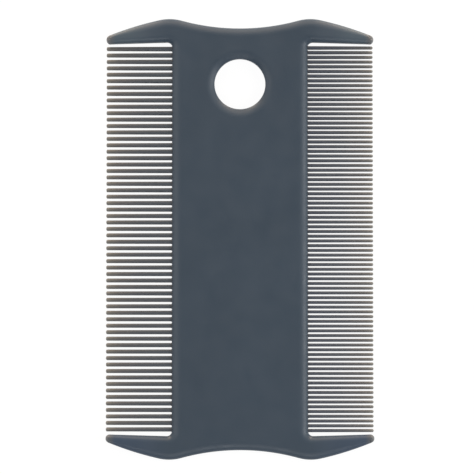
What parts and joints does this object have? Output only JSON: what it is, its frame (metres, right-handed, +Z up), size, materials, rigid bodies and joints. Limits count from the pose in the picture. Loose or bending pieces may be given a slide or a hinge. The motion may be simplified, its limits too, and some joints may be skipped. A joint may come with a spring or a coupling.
{
  "type": "flea comb",
  "caption": "Flat double-sided flea comb: a rectangular spine plate with a round hanging hole, pointed guard arms at the corners, coarse teeth along one side and fine teeth along the other.",
  "frame": {"origin": "centre of the underside, midway along the length and the width", "axes": "+Y along the comb towards the end with the hanging hole, +X towards the fine teeth, +Z up through the thickness with the comb lying flat"},
  "size_m": [0.0546, 0.09, 0.003],
  "materials": {
    "moulded_plastic": "satin dark blue-grey injection moulding with a fine even texture"
  },
  "bodies": {
    "root": {"spine_plate": "moulded_plastic", "guard_coarse_top": "moulded_plastic", "guard_coarse_bottom": "moulded_plastic", "guard_fine_top": "moulded_plastic", "guard_fine_bottom": "moulded_plastic", "coarse_teeth": "moulded_plastic", "fine_teeth": "moulded_plastic"}
  },
  "joints": []
}
